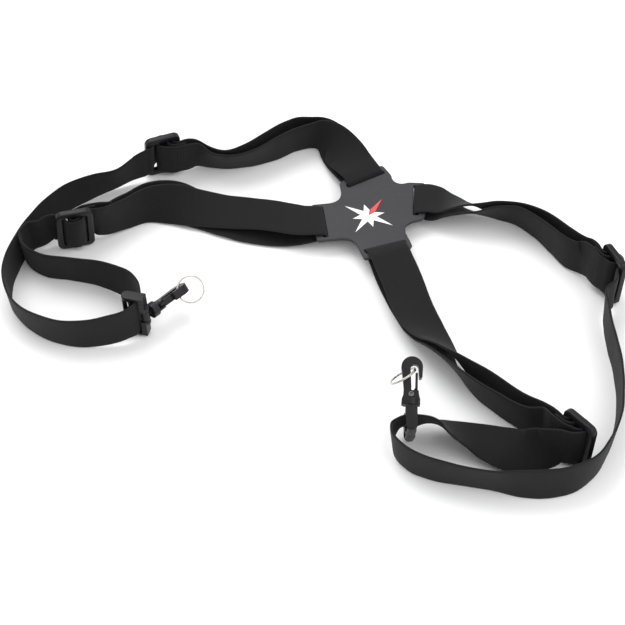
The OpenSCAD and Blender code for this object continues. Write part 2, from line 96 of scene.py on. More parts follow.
LEFT_SHOULDER = [
    (-73.8, 123.2, 14.8, 0, -0.22, 0.97), (-66, 122.4, 12.4, 0, -0.4, 0.91), (-54, 121.5, 11.3, 0.05, -0.48, 0.87),
    (-38, 125, 11.8, 0.08, -0.4, 0.91), (-23, 133, 12.7, 0.06, -0.2, 0.98), (-9, 142, 12.8, 0.05, -0.2, 0.98),
    (3, 145, 13, 0.2, -0.1, 0.97), (12, 139.5, 13.4, 0.5, 0.2, 0.84), (20, 129, 13.2, 0.75, 0.4, 0.5),
    (26, 119, 13.1, 0.85, 0.5, 0.15),
    *hairpin(UP_SLOT),
    (25, 120.5, 7.6, 0.85, 0.5, 0.12), (17.5, 133, 9.6, 0.72, 0.4, 0.56), (9.5, 144, 12.3, 0.4, 0.2, 0.9),
    (0, 149.8, 12.8, 0.1, -0.1, 1), (-9, 150, 12.8, 0, -0.1, 1), (-18, 146, 12.8, 0.03, -0.1, 1),
    (-30, 137, 12.7, 0.05, -0.15, 0.99), (-44, 128.5, 12.2, 0.05, -0.35, 0.94), (-57, 125.3, 11.7, 0.05, -0.45, 0.89),
    (-68, 126.6, 13, 0.03, -0.36, 0.93), (-76.1, 126.6, 15.2, 0.03, -0.22, 0.97)]
LEFT_SIDE = [
    (-127.5, 67.4, 16, 0.03, -0.05, 1), (-117, 75.2, 13.7, 0.03, 0.05, 1), (-103, 84.5, 12.8, 0, 0.25, 0.97),
    (-87, 86.2, 10.4, 0, 0.65, 0.76), (-73, 83.2, 6, 0, 0.91, 0.41), (-64, 80.2, 4.4, 0, 0.95, 0.27),
    (-54, 76, 2.8, 0, 0.98, 0.1), (-40, 71, 1.6, 0, 1, 0.02), (-26, 68, 1.5, 0, 1, 0), (-13, 66.5, 3, 0, 1, 0),
    *hairpin(LEFT_SLOT)[::-1],
    (-7, 66.5, 12.8, 0, 1, 0), (-17, 70, 11.5, -0.03, 1, 0.02), (-28, 74, 10, 0, 1, 0.04),
    (-41, 77, 8.5, 0, 0.99, 0.1), (-56, 79.5, 7.7, 0, 0.97, 0.2), (-72, 82, 8.4, 0, 0.91, 0.41),
    (-87, 82.8, 11, 0, 0.65, 0.76), (-103, 80.3, 12.7, 0, 0.25, 0.97), (-117, 71.2, 13.6, 0.03, 0.05, 1),
    (-127.5, 63.4, 16, 0.03, -0.05, 1)]
LEFT_FRONT = [
    (-113, 111, 15.3, 0.12, -0.2, 0.97), (-124, 104.5, 12.7, 0.2, -0.27, 0.94), (-139, 97, 12.6, 0.12, -0.15, 0.98),
    (-153, 87.5, 12.8, 0.06, -0.06, 1), (-165, 73, 12.8, 0, 0, 1), (-174, 56, 12.8, -0.03, 0, 1),
    (-180.5, 38, 12.8, -0.06, 0, 1), (-184, 20, 12.8, -0.1, 0, 1), (-182.5, 4, 12.8, -0.1, -0.05, 1),
    (-173, -13, 12.5, -0.15, -0.17, 0.97), (-159, -23.5, 12.6, -0.08, -0.15, 0.98),
    (-145, -28.5, 12.7, -0.03, -0.13, 0.99), (-131, -29, 13, 0, -0.08, 1), (-119.5, -27.3, 14.2, 0, -0.04, 1),
    (-109.8, -24.6, 15.8, -0.03, -0.03, 1), (-104.5, -20.8, 16.2, -0.05, 0, 1), (-102.8, -16, 16.2, -0.05, 0, 1),
    (-101.6, -9.5, 16.2, -0.04, 0, 1), (-103, -2, 15.8, 0, 0, 1), (-108, 6.5, 14.8, 0.02, 0, 1),
    (-116.5, 13.8, 13.5, 0, -0.04, 1), (-128.5, 20, 12.8, -0.04, -0.1, 0.99), (-147.5, 24.5, 12.6, -0.05, -0.19, 0.98),
    (-164, 28, 12.5, -0.1, -0.18, 0.97), (-174.5, 36.5, 12.6, -0.12, -0.1, 0.99),
    (-177.6, 44.6, 12.8, -0.08, -0.04, 0.99), (-173.8, 51.3, 13.6, -0.03, -0.05, 0.99),
    (-166, 53.3, 15.8, 0.03, -0.14, 0.99)]
RIGHT_SHOULDER = [
    (164.2, 30.2, 15, 0, 0, 1), (155.5, 37, 13.6, -0.02, -0.03, 1), (146.5, 49.5, 12.9, -0.06, -0.1, 1),
    (137.5, 61.3, 12.7, -0.1, -0.2, 0.98), (126, 71, 12.3, -0.1, -0.33, 0.93), (113, 74.3, 11.6, -0.1, -0.5, 0.86),
    (103, 75.5, 10.2, -0.05, -0.68, 0.73), (95, 77.5, 9.2, 0, -0.8, 0.6), (86, 80.5, 8, 0, -0.93, 0.37),
    (78, 83.5, 6.9, 0, -1, 0.05),
    *hairpin(RIGHT_SLOT)[::-1],
    (79, 84.5, 12.8, 0, -1, 0.05), (87, 82.8, 12.4, 0, -0.93, 0.37), (95, 80.8, 12.9, 0, -0.8, 0.6),
    (103, 79.2, 13.3, -0.05, -0.68, 0.73), (113, 77.8, 13, -0.1, -0.5, 0.86), (126, 74.6, 12.9, -0.1, -0.33, 0.93),
    (140.5, 67, 12.8, -0.1, -0.2, 0.98), (151, 56, 12.9, -0.06, -0.1, 1), (160, 44, 13.5, -0.02, -0.03, 1),
    (168.5, 33.5, 15.3, 0, 0, 1)]
RIGHT_SIDE = [
    (129, -101, 16, 0.05, 0.03, 1), (121.5, -96.3, 13.9, 0, -0.12, 0.99), (112.5, -89.2, 12.9, -0.04, -0.2, 0.98),
    (104.5, -82, 12.6, -0.05, -0.22, 0.97), (94, -72, 12.5, -0.1, -0.28, 0.95), (83.5, -58, 12.1, -0.28, -0.35, 0.9),
    (75.5, -43, 10.2, -0.52, -0.42, 0.74), (70.3, -29.5, 6.8, -0.75, -0.47, 0.45), (66.3, -16, 3.4, -0.88, -0.42, 0.15),
    (61.5, -2, 1.8, -0.93, -0.35, 0.03), (55.5, 14, 1.9, -0.95, -0.3, 0), (49.5, 31, 4.2, -0.95, -0.3, 0),
    *hairpin(LOW_SLOT)[::-1],
    (49.5, 31, 12.4, -0.95, -0.3, 0), (54, 17, 11, -0.95, -0.3, 0), (58.5, 0, 9.8, -0.93, -0.35, 0.04),
    (64, -16, 9.6, -0.88, -0.42, 0.18), (70.5, -29.5, 11.2, -0.75, -0.47, 0.45), (78, -41, 13.2, -0.5, -0.42, 0.75),
    (86.5, -52, 13.2, -0.25, -0.28, 0.93), (96, -61.5, 12.9, -0.1, -0.2, 0.98), (107, -71.5, 12.8, -0.05, -0.2, 0.98),
    (116, -80.5, 12.9, -0.05, -0.2, 0.98), (124.5, -89.5, 13.9, 0, -0.12, 0.99), (132, -98.5, 16, 0.05, 0.03, 1)]
RIGHT_FRONT = [
    (174.5, -5.5, 15.5, -0.05, 0, 1), (174, -16, 13.8, -0.02, 0, 1), (174.5, -30, 12.9, 0, 0, 1),
    (176, -46, 12.8, 0, 0, 1), (176.5, -63, 12.8, 0.02, 0, 1), (175, -81, 12.8, 0.06, 0, 1),
    (171.5, -98, 12.8, 0.1, -0.02, 1), (165, -114, 12.8, 0.1, -0.05, 1), (155.5, -128.5, 12.8, 0.07, -0.07, 1),
    (143, -137, 12.8, 0, 0, 1), (129, -140.2, 12.8, 0, 0, 1), (116, -140.2, 12.8, 0, -0.05, 1),
    (103, -138.5, 12.6, -0.03, -0.2, 0.98), (90, -136, 12.5, -0.05, -0.25, 0.97), (77, -133, 12.6, -0.05, -0.22, 0.97),
    (64, -129, 12.7, -0.06, -0.16, 0.98), (52, -122, 13, -0.1, -0.1, 0.99), (45, -112, 14.2, -0.1, -0.12, 0.99),
    (45.3, -104, 16.2, -0.08, -0.32, 0.94), (49.3, -100.4, 18, 0, -0.43, 0.9), (54.8, -99.8, 18.6, 0, -0.44, 0.9),
    (60.8, -99.9, 18.2, 0, -0.44, 0.9), (70.5, -99.2, 15, -0.03, -0.7, 0.71), (80, -101, 11.6, -0.03, -0.88, 0.47),
    (93, -104.5, 8.5, 0, -0.99, 0.12), (106, -110.6, 8.4, 0, -0.97, -0.22), (117.5, -115.4, 9.8, 0.02, -0.82, -0.57),
    (128.6, -116.4, 14.6, 0, -0.42, -0.9)]

# A slider's place: centre, lean, turn, and whether it is mirrored. X is along the webbing, Z along the bars and -Y
# the sewn end's side.
SLIDERS = {
    "left_shoulder": ((-96, 122.5, 17.2), 9, 21, True),
    "left_side": ((-146, 54.7, 17.2), -9, 194, False),
    "right_shoulder": ((179.7, 16, 17), -4, -66, False),
    "right_side": ((146.8, -112.2, 17), -5, -50, False)}
# Routes through a slider, as x and y in its frame: the run that passes over its bar, the ways that run leaves, and
# the sewn end wrapped round the bar
PASS_NEAR = [(-13.5, -3), (-11.3, -3.2), (-8.6, -3), (-6.3, 0.2), (-4.4, 3.4), (-2, 4.7), (0, 5)]
PASS_FAR = [(2, 4.7), (4.4, 3.4)]
OVER_RIM = [(6.3, 0.2), (8.6, -3), (11.3, -3.4), (13.5, -4)]
OUT = [(6.3, 0.2), (8.6, -3.2), (11, -4.5), (13.5, -5.8)]
BACK = [(5.6, 0.8), (5, -3), (2, -8), (-3, -11.5)]
WRAP = [(-14, -7.3), (-10, -7.2), (-5.5, -6.8), (-1.5, -5.2), (1.6, -3.8), (3.1, -1.6), (3, 0.6), (1.2, 2.6),
        (-1.2, 2.6), (-3, 0.6), (-3.2, -1.6), (-4.6, -3.8), (-7, -5), (-10, -5.4), (-14, -5.5)]
# A keeper's place: centre, turn about x, y and z. X outwards from the webbing, Y along it, Z across it.
KEEPERS = {"left": ((-102.8, -16, 16.2), (0, -3, -15)), "right": ((54.8, -99.8, 18.6), (0, -26, 90))}


def slider_axes(name):
    """Centre and rotation, columns X, Y and Z, of a slider's own frame."""
    centre, lean, turn, mirrored = SLIDERS[name]
    axes = turned(lean, 0, turn)
    if mirrored:
        axes = axes * np.array([-1, 1, 1])
    return np.array(centre), axes


def at_slider(name, route):
    """Stations of webbing that weaves through a slider, its width across the slider."""
    centre, axes = slider_axes(name)
    return [(*(centre + axes @ [x, y, 0]), *axes[:, 2]) for x, y in route]


def side_path(side, shoulder, front, flank, out, back):
    """The whole webbing of one side, from the end sewn on one slider to the end sewn on the other."""
    parts = [
        at_slider(side + "_shoulder", WRAP[::-1]), shoulder, at_slider(side + "_shoulder", PASS_NEAR),
        at_slider(side + "_shoulder", PASS_FAR + out), front, at_slider(side + "_side", (PASS_FAR + back)[::-1]),
        at_slider(side + "_side", PASS_NEAR[::-1]), flank[::-1], at_slider(side + "_side", WRAP)]
    stations = np.array([s for part in parts for s in part], float)
    for i in range(1, len(stations)):  # the width keeps its side through every turn and twist
        if stations[i, 3:] @ stations[i - 1, 3:] < 0:
            stations[i, 3:] *= -1
    count = np.cumsum([len(part) for part in parts])
    keeper = np.array(KEEPERS[side][0])
    middle = int(np.argmin(np.linalg.norm(stations[:, :3] - keeper, axis=1)))
    return stations, {
        "start": 0, "shoulder_bar": count[2] - 1, "keeper": middle, "side_bar": count[5], "end": len(stations) - 1}


# ---------- Meshes ----------
def skin(rings, around):
    """The sides of a skin over rings of points, each ring with so many around."""
    return [(i * around + k, i * around + (k + 1) % around, (i + 1) * around + (k + 1) % around, (i + 1) * around + k)
            for i in range(rings - 1) for k in range(around)]


def finish_mesh(mesh):
    """Outward faces, smooth."""
    bm = bmesh.new()
    bm.from_mesh(mesh)
    bmesh.ops.recalc_face_normals(bm, faces=bm.faces)
    bm.to_mesh(mesh)
    bm.free()
    mesh.polygons.foreach_set("use_smooth", [True] * len(mesh.polygons))


def mesh_of(name, points, faces):
    """A smooth closed mesh of points of the design."""
    mesh = bpy.data.meshes.new(name)
    mesh.from_pydata(place(points).tolist(), [], faces)
    finish_mesh(mesh)
    return mesh


def dress(piece, kind):
    piece.data.materials.clear()
    piece.data.materials.append(material(kind))


# ---------- Webbing ----------
SELVEDGE_R = 0.62  # rounding of the webbing's edge
RIPPLES = ((0.12, 7.3, 0.0), (0.08, 3.1, 1.3))  # how the edges wander: height, length and start of each wave


def spline(stations, u):
    """A smooth curve through the stations at parameters u, its slopes weighted by the gaps between them."""
    last = len(stations) - 1
    gap = np.linalg.norm(np.diff(stations[:, :3], axis=0), axis=1)[:, None]
    slope = np.diff(stations, axis=0) / gap
    m = np.empty_like(stations)
    m[1:-1] = (slope[:-1] * gap[1:] + slope[1:] * gap[:-1]) / (gap[:-1] + gap[1:])
    m[0], m[-1] = slope[0], slope[-1]
    i = np.minimum(np.floor(u).astype(int), last - 1)
    t = (u - i)[:, None]
    h = gap[i]
    return ((2 * t**3 - 3 * t**2 + 1) * stations[i] + (t**3 - 2 * t**2 + t) * h * m[i]
            + (3 * t**2 - 2 * t**3) * stations[i + 1] + (t**3 - t**2) * h * m[i + 1])


def web_section(columns=18):
    """The outline of the strip's cut: (across, up) in millimetres, with a thinner woven selvedge."""
    across = np.linspace(-1, 1, columns) * (WEB_W / 2 - 0.7)
    edge = np.radians([62, 30, 0, -30, -62])
    top = [(x, WEB_T / 2 - 0.12 * (abs(x) / (WEB_W / 2)) ** 8) for x in across]
    right = [(WEB_W / 2 - SELVEDGE_R + SELVEDGE_R * math.cos(a), 0.6 * math.sin(a)) for a in edge]
    left = [(-x, -y) for x, y in right]
    under = [(-x, -y) for x, y in top]
    return np.array(top + right + under + left)


def webbing(name, stations, first, last, steps=12):
    """A piece of the webbing between two stations, closed, with a UV map in metres along and across it."""
    u = np.linspace(first, last, (last - first) * steps + 1)
    p = spline(stations, u)
    middle, raw = p[:, :3], p[:, 3:]
    nudge = 0.02
    tangent = unit(spline(stations, np.minimum(u + nudge, len(stations) - 1))[:, :3]
                   - spline(stations, np.maximum(u - nudge, 0))[:, :3])
    across = unit(raw - np.sum(raw * tangent, 1)[:, None] * tangent)
    up = np.cross(tangent, across)
    every = spline(stations, np.linspace(0, last, last * steps + 1))[:, :3]
    run = np.concatenate([[0], np.cumsum(np.linalg.norm(np.diff(every, axis=0), axis=1))])[first * steps:]
    section = web_section()
    # the elastic's edges are never quite straight
    ripple = sum(height * np.sin(run / length + start) for height, length, start in RIPPLES)
    share = (np.abs(section[:, 0]) / (WEB_W / 2)) ** 3 * np.sign(section[:, 0])
    rings = (middle[:, None] + across[:, None] * section[None, :, :1]
             + up[:, None] * (section[None, :, 1:] + (ripple[:, None] * share[None])[..., None]))
    n, m = rings.shape[:2]
    mesh = bpy.data.meshes.new(name)
    faces = skin(n, m) + [tuple(reversed(range(m))), tuple(range((n - 1) * m, n * m))]
    mesh.from_pydata(place(rings.reshape(-1, 3)).tolist(), [], faces)
    layer = mesh.uv_layers.new(name="Webbing")
    around = np.append(section[:, 0], section[0, 0])
    uv = []
    for i in range(n - 1):
        for k in range(m):
            a, b, s, t = around[k], around[k + 1], run[i], run[i + 1]
            uv += [s, a, s, b, t, b, t, a]
    uv += [run[0], 0] * m + [run[-1], 0] * m
    layer.data.foreach_set("uv", np.array(uv, np.float32) * MM)
    finish_mesh(mesh)
    sharp = mesh.attributes.new("sharp_edge", "BOOLEAN", "EDGE")
    ends = [e.vertices[0] // m == e.vertices[1] // m and e.vertices[0] // m in (0, n - 1) for e in mesh.edges]
    sharp.data.foreach_set("value", ends)
    piece = add(name, mesh)
    piece.data.materials.append(material("webbing"))
    return piece, (run[-1] - run[0]) * MM


def add(name, mesh):
    piece = bpy.data.objects.new(name, mesh)
    bpy.context.scene.collection.objects.link(piece)
    return piece


# ---------- Materials ----------
MATERIALS = {}


class Shader:
    """A few lines of node graph round one Principled shader."""

    def __init__(self, name, **values):
        self.material = bpy.data.materials.new(name)
        self.material.use_nodes = True
        self.tree = self.material.node_tree
        self.bsdf = self.tree.nodes["Principled BSDF"]
        for key, value in values.items():
            self.bsdf.inputs[key.replace("_", " ")].default_value = value

    def node(self, kind, inputs=None, **settings):
        node = self.tree.nodes.new(kind)
        for key, value in settings.items():
            setattr(node, key, value)
        for key, value in (inputs or {}).items():
            self.put(value, node.inputs[key])
        return node

    def put(self, value, socket):
        if isinstance(value, bpy.types.NodeSocket):
            self.tree.links.new(value, socket)
        else:
            socket.default_value = value

    def math(self, operation, a, b=0.0, c=0.0):
        return self.node("ShaderNodeMath", {0: a, 1: b, 2: c}, operation=operation).outputs[0]

    def here(self):
        return self.node("ShaderNodeTexCoord").outputs["Object"]

    def noise(self, scale, detail, roughness=0.5):
        inputs = {"Scale": scale, "Detail": detail, "Roughness": roughness, "Vector": self.here()}
        return self.node("ShaderNodeTexNoise", inputs).outputs["Fac"]

    def ramp(self, value, *stops):
        node = self.node("ShaderNodeValToRGB", {"Fac": value})
        elements = node.color_ramp.elements
        for i, (position, colour) in enumerate(stops):
            element = elements[i] if i < 2 else elements.new(position)
            element.position = position
            element.color = (*colour, 1) if isinstance(colour, tuple) else (colour, colour, colour, 1)
        return node.outputs["Color"]

    def bump(self, height, distance, strength):
        inputs = {"Height": height, "Distance": distance, "Strength": strength}
        return self.node("ShaderNodeBump", inputs).outputs["Normal"]

    def feed(self, **sockets):
        for key, value in sockets.items():
            self.tree.links.new(value, self.bsdf.inputs[key.replace("_", " ")])
        return self.material


RIB, PICK = 0.00092, 0.00085  # pitch of the weave's ribs and of its picks, in metres
SELVEDGE_HIGHLIGHT = (0.0114, 0.0012)  # where the painted highlight along the selvedge starts, from the middle, and how wide it is


def webbing_material():
    """Black elastic: ribs along the run, a fine pick across it, and a lighter band at the selvedge, a painted highlight
    along the edge.
    """
    s = Shader("elastic_webbing", Roughness=0.8, Sheen_Weight=0.06, Sheen_Roughness=0.5, Specular_IOR_Level=0.15)
    uv = s.node("ShaderNodeUVMap", uv_map="Webbing").outputs["UV"]
    split = s.node("ShaderNodeSeparateXYZ", {"Vector": uv})
    along, across = split.outputs["X"], split.outputs["Y"]
    ribs = s.math("SINE", s.math("MULTIPLY", across, 2 * math.pi / RIB))
    row = s.math("MULTIPLY", s.math("FLOOR", s.math("DIVIDE", across, RIB / 2)), math.pi)
    picks = s.math("SINE", s.math("ADD", s.math("MULTIPLY", along, 2 * math.pi / PICK), row))
    weave = s.math("MULTIPLY_ADD", ribs, 0.55, s.math("MULTIPLY", picks, 0.45))
    # the selvedge band below is painted lighter: a painted highlight along the webbing's edge
    far = s.math("ABSOLUTE", across)
    past = s.math("MAXIMUM", s.math("SUBTRACT", far, SELVEDGE_HIGHLIGHT[0]), 0.0)
    selvedge = s.math("SMOOTH_MIN", past, SELVEDGE_HIGHLIGHT[1], 0.0002)
    selvedge = s.math("MULTIPLY", selvedge, 800.0)
    fuzz = s.noise(1400.0, 2.0)
    wear = s.noise(38.0, 3.0)
    tone = s.math("MULTIPLY_ADD", weave, 0.16, s.math("MULTIPLY_ADD", fuzz, 0.3, s.math("MULTIPLY", wear, 0.35)))
    # painted highlight: the selvedge band is made lighter
    tone = s.math("MULTIPLY_ADD", selvedge, 0.35, tone)
    colour = s.ramp(tone, (0.05, (0.0045, 0.0045, 0.0052)), (0.9, (0.0150, 0.0145, 0.0158)))
    height = s.math("MULTIPLY_ADD", fuzz, 0.35, weave)
    rough = s.ramp(wear, (0.3, 0.72), (0.7, 0.86))
    return s.feed(Base_Color=colour, Roughness=rough, Normal=s.bump(height, 0.00012, 0.5))


def leather_material():
    """Charcoal synthetic leather with a fine pebbled grain."""
    s = Shader("pad_leather", Specular_IOR_Level=0.38)
    where = s.here()
    cells = s.node("ShaderNodeTexVoronoi", {"Vector": where, "Scale": 1050.0}, feature="SMOOTH_F1").outputs["Distance"]
    pores = s.noise(2600.0, 2.0)
    cloud = s.noise(55.0, 3.0)
    grain = s.math("MULTIPLY_ADD", pores, 0.3, cells)
    tone = s.math("MULTIPLY_ADD", cells, 0.25, s.math("MULTIPLY", cloud, 0.6))
    colour = s.ramp(tone, (0.2, (0.024, 0.024, 0.027)), (0.75, (0.038, 0.038, 0.042)))
    rough = s.ramp(cloud, (0.3, 0.52), (0.7, 0.64))
    return s.feed(Base_Color=colour, Roughness=rough, Normal=s.bump(grain, 0.00012, 0.5))


def lining_material():
    """The lining's plain weave, seen at the pad's edge."""
    s = Shader("pad_lining", Roughness=0.9, Sheen_Weight=0.2)
    where = s.here()
    waves = [s.node("ShaderNodeTexWave", {"Vector": where, "Scale": 500.0, "Distortion": 0.6},
                    bands_direction=d).outputs["Fac"] for d in ("X", "Y")]
    weave = s.math("ADD", *waves)
    colour = s.ramp(s.math("MULTIPLY", weave, 0.5), (0.2, (0.012, 0.012, 0.013)), (0.9, (0.024, 0.024, 0.026)))
    return s.feed(Base_Color=colour, Normal=s.bump(weave, 0.0001, 0.6))


def plastic_material(name, low, high, rough):
    """Satin moulded plastic with a spark-eroded texture and faint scuffs; sewing thread is a rougher one."""
    s = Shader(name, Specular_IOR_Level=0.24)
    spark = s.noise(3000.0, 2.0)
    scuff = s.noise(240.0, 5.0, roughness=0.65)
    cloud = s.noise(70.0, 2.0)
    colour = s.ramp(cloud, (0.3, low), (0.7, high))
    worn = s.ramp(scuff, (0.35, rough[0]), (0.7, rough[1]))
    return s.feed(Base_Color=colour, Roughness=worn, Normal=s.bump(spark, 0.00004, 0.5))


def print_material(name, colour, dark):
    """A raised screen print, a little uneven."""
    s = Shader(name, Specular_IOR_Level=0.4)
    cloud = s.noise(300.0, 4.0)
    ink = s.ramp(cloud, (0.25, dark), (0.6, colour))
    worn = s.ramp(cloud, (0.3, 0.45), (0.7, 0.6))
    return s.feed(Base_Color=ink, Roughness=worn, Normal=s.bump(s.noise(1500.0, 2.0), 0.00003, 0.5))


def steel_material(name, low, high, rough):
    """Plated wire: fine drawing marks and slight tarnish."""
    s = Shader(name, Metallic=1.0)
    drawing = {"Vector": s.here(), "Scale": 900.0, "Detail": 4.0, "Distortion": 1.5}
    drawn = s.node("ShaderNodeTexNoise", drawing).outputs["Fac"]
    cloud = s.noise(200.0, 3.0)
    worn = s.ramp(drawn, (0.3, rough[0]), (0.7, rough[1]))
    return s.feed(Base_Color=s.ramp(cloud, (0.3, low), (0.7, high)), Roughness=worn, Normal=s.bump(drawn, 0.00002, 0.4))


MAKERS = {
    "webbing": webbing_material,
    "leather": leather_material,
    "lining": lining_material,
    "plastic": lambda: plastic_material("hook_plastic", (0.005, 0.005, 0.006), (0.010, 0.010, 0.0115), (0.28, 0.42)),
    "white": lambda: print_material("print_white", (0.88, 0.88, 0.87), (0.78, 0.78, 0.78)),
    "red": lambda: print_material("print_red", (0.80, 0.075, 0.085), (0.66, 0.05, 0.055)),
    "thread": lambda: plastic_material("thread", (0.010, 0.010, 0.011), (0.022, 0.022, 0.024), (0.5, 0.7)),
    "rivet": lambda: steel_material("rivet_metal", (0.10, 0.10, 0.105), (0.19, 0.19, 0.20), (0.3, 0.45)),
    "steel": lambda: steel_material("ring_steel", (0.55, 0.51, 0.48), (0.72, 0.68, 0.65), (0.18, 0.32))}


def material(kind):
    if kind not in MATERIALS:
        MATERIALS[kind] = MAKERS[kind]()
    return MATERIALS[kind]


# ---------- Shapes ----------
def moulded(outlines, thickness, bevel):
    """A mesh of a flat outline, its first loop outside and the others holes, with rounded edges; Z is through it."""
    curve = bpy.data.curves.new("outline", "CURVE")
    curve.dimensions = "2D"
    curve.fill_mode = "BOTH"
    curve.extrude = thickness / 2 - bevel
    curve.bevel_depth = bevel
    curve.bevel_resolution = 3
    curve.offset = -bevel
    for loop in outlines:
        line = curve.splines.new("POLY")
        line.points.add(len(loop) - 1)
        line.points.foreach_set("co", [k for x, y in loop for k in (x, y, 0, 1)])
        line.use_cyclic_u = True
    shape = bpy.data.objects.new("outline", curve)
    bpy.context.scene.collection.objects.link(shape)
    bpy.context.view_layer.update()
    mesh = bpy.data.meshes.new_from_object(shape.evaluated_get(bpy.context.evaluated_depsgraph_get()))
    bpy.data.objects.remove(shape)
    bm = bmesh.new()
    bm.from_mesh(mesh)
    bmesh.ops.remove_doubles(bm, verts=bm.verts, dist=1e-6)
    bmesh.ops.recalc_face_normals(bm, faces=bm.faces)
    bm.to_mesh(mesh)
    bm.free()
    return mesh


def rounded(width, height, radius, steps):
    """Points of a rounded rectangle round the origin."""
    points = []
    for k, (sx, sy) in enumerate([(1, 1), (-1, 1), (-1, -1), (1, -1)]):
        for i in range(steps + 1):
            a = math.radians(90 * k + 90 * i / steps)
            x, y = sx * (width / 2 - radius), sy * (height / 2 - radius)
            points.append((x + radius * math.cos(a), y + radius * math.sin(a)))
    return points


def moved(loop, dx):
    return [(x + dx, y) for x, y in loop]


def smooth_by_angle(mesh, degrees):
    mesh.polygons.foreach_set("use_smooth", [True] * len(mesh.polygons))
    mesh.set_sharp_from_angle(angle=math.radians(degrees))


def put(name, mesh, centre, axes, kind, body, replaces):
    """Places a mesh made in a part's own frame, in millimetres, and makes it stand for CAD nodes."""
    mesh.transform(Matrix((axes * MM).tolist()).to_4x4())
    mesh.transform(Matrix.Translation(Vector(place(centre))))
    if np.linalg.det(axes) < 0:
        mesh.flip_normals()
    piece = add(name, mesh)
    dress(piece, kind)
    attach(piece, body)
    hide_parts(*replaces)
    return piece


# ---------- Sliders ----------
SLIDER_L, SLIDER_W, SLIDER_T = 23, 34, 4
RIM, BAR, BAR_T = 4, 4, 3
SLIDER_R, WINDOW_R, SLIDER_BEVEL = 4.5, 0.9, 0.9


def slider_mesh():
    """A webbing slider: a rounded frame and its thinner centre bar, in one moulding."""
    window = (SLIDER_L - 2 * RIM - BAR) / 2
    hole = rounded(window, SLIDER_W - 2 * RIM, WINDOW_R, 4)
    shift = (BAR + window) / 2
    outlines = [rounded(SLIDER_L, SLIDER_W, SLIDER_R, 12), moved(hole, -shift)[::-1], moved(hole, shift)[::-1]]
    mesh = moulded(outlines, SLIDER_T, SLIDER_BEVEL)
    bm = bmesh.new()
    bm.from_mesh(mesh)
    for v in bm.verts:  # the centre bar is thinner than the rims
        if abs(v.co.x) < BAR / 2 + 0.2 and abs(v.co.y) < SLIDER_W / 2 - RIM + 0.2:
            v.co.z *= BAR_T / SLIDER_T
    bm.to_mesh(mesh)
    bm.free()
    smooth_by_angle(mesh, 38)
    mesh.transform(Matrix.Rotation(math.radians(90), 4, "X"))
    return mesh


for name in SLIDERS:
    centre, axes = slider_axes(name)
    put(name + "_frame", slider_mesh(), centre, axes, "plastic", name + "_adjuster", [name + "_slider"])

# ---------- Webbing pieces ----------
LEFT = side_path("left", LEFT_SHOULDER, LEFT_FRONT, LEFT_SIDE, OVER_RIM, OVER_RIM)
RIGHT = side_path("right", RIGHT_SHOULDER, RIGHT_FRONT, RIGHT_SIDE, OUT, BACK)
# For each run: the stations it lies between, the nodes it stands for, the slider it joins, how it is held, and
# where the cloth goes over from following the harness to following that slider
RUNS = [
    ("left_shoulder_loop", LEFT, "start", "shoulder_bar", ["left_shoulder_webbing", "left_shoulder_wrap"],
     "left_shoulder", "folded", (-72, 126, 15), (-83, 124, 16)),
    ("left_front_upper", LEFT, "shoulder_bar", "keeper", ["left_front_webbing", "left_shoulder_pass"],
     "left_shoulder", "laid", (-124, 104, 13), (-111, 113, 16)),
    ("left_front_lower", LEFT, "keeper", "side_bar", ["left_side_pass"],
     "left_side", "laid", (-176, 42, 13), (-176, 55, 13)),
    ("left_side_loop", LEFT, "side_bar", "end", ["left_side_webbing", "left_side_wrap"],
     "left_side", "folded", (-122, 72, 14), (-132, 66, 16)),
    ("right_shoulder_loop", RIGHT, "start", "shoulder_bar", ["right_shoulder_webbing", "right_shoulder_wrap"],
     "right_shoulder", "folded", (156, 46, 14), (166, 32, 15)),
    ("right_front_upper", RIGHT, "shoulder_bar", "keeper", ["right_front_webbing", "right_shoulder_pass"],
     "right_shoulder", "laid", (175, -19, 13), (176, -5, 16)),
    ("right_front_lower", RIGHT, "keeper", "side_bar", ["right_side_pass"],
     "right_side", "laid", (112, -111, 10), (127, -115, 15)),
    ("right_side_loop", RIGHT, "side_bar", "end", ["right_side_webbing", "right_side_wrap"],
     "right_side", "folded", (118, -87, 13), (129, -98, 15))]
for name, (stations, marks), first, last, stands_for, slider, held, start, end in RUNS:
    piece, length = webbing(name, stations, int(marks[first]), int(marks[last]))
    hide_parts(*stands_for)
    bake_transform(piece)


# ---------- Back pad ----------
PAD_STEP = 0.5 * MM  # spacing of the outline's points
PAD_ROUNDS = 260  # how far the outline's corners are softened
SLOT_EDGE = (4.4 * MM, 8.4 * MM)  # the outline stays put nearer to a slot than the first, and is free past the second


def top_loops(node):
    """The boundary loops of a flat node's top face, longest first, as lists of (x, y)."""
    mesh = NODES[node].data
    bm = bmesh.new()
    bm.from_mesh(mesh)
    bmesh.ops.remove_doubles(bm, verts=bm.verts, dist=1e-6)
    high = max(v.co.z for v in bm.verts)
    flat = {f for f in bm.faces if all(v.co.z > high - 1e-5 for v in f.verts)}
    edges = [e for e in bm.edges if sum(f in flat for f in e.link_faces) == 1]
    near = {}
    for e in edges:
        for v in e.verts:
            near.setdefault(v, []).append(e)
    loops, left = [], set(edges)
    while left:
        e = min(left, key=lambda x: x.index)
        left.discard(e)
        loop, v = [e.verts[0]], e.verts[1]
        while v is not loop[0]:
            loop.append(v)
            e = next(k for k in near[v] if k in left)
            left.discard(e)
            v = e.other_vert(v)
        loops.append([(p.co.x, p.co.y) for p in loop])
    bm.free()
    return sorted(loops, key=lambda l: -sum(math.dist(a, b) for a, b in zip(l, l[1:] + l[:1])))


def even(loop, step):
    """The same closed loop with points about step apart."""
    p = np.array(loop + loop[:1])
    s = np.concatenate([[0], np.cumsum(np.linalg.norm(np.diff(p, axis=0), axis=1))])
    t = np.linspace(0, s[-1], max(8, int(s[-1] / step)), endpoint=False)
    return [(np.interp(k, s, p[:, 0]), np.interp(k, s, p[:, 1])) for k in t]


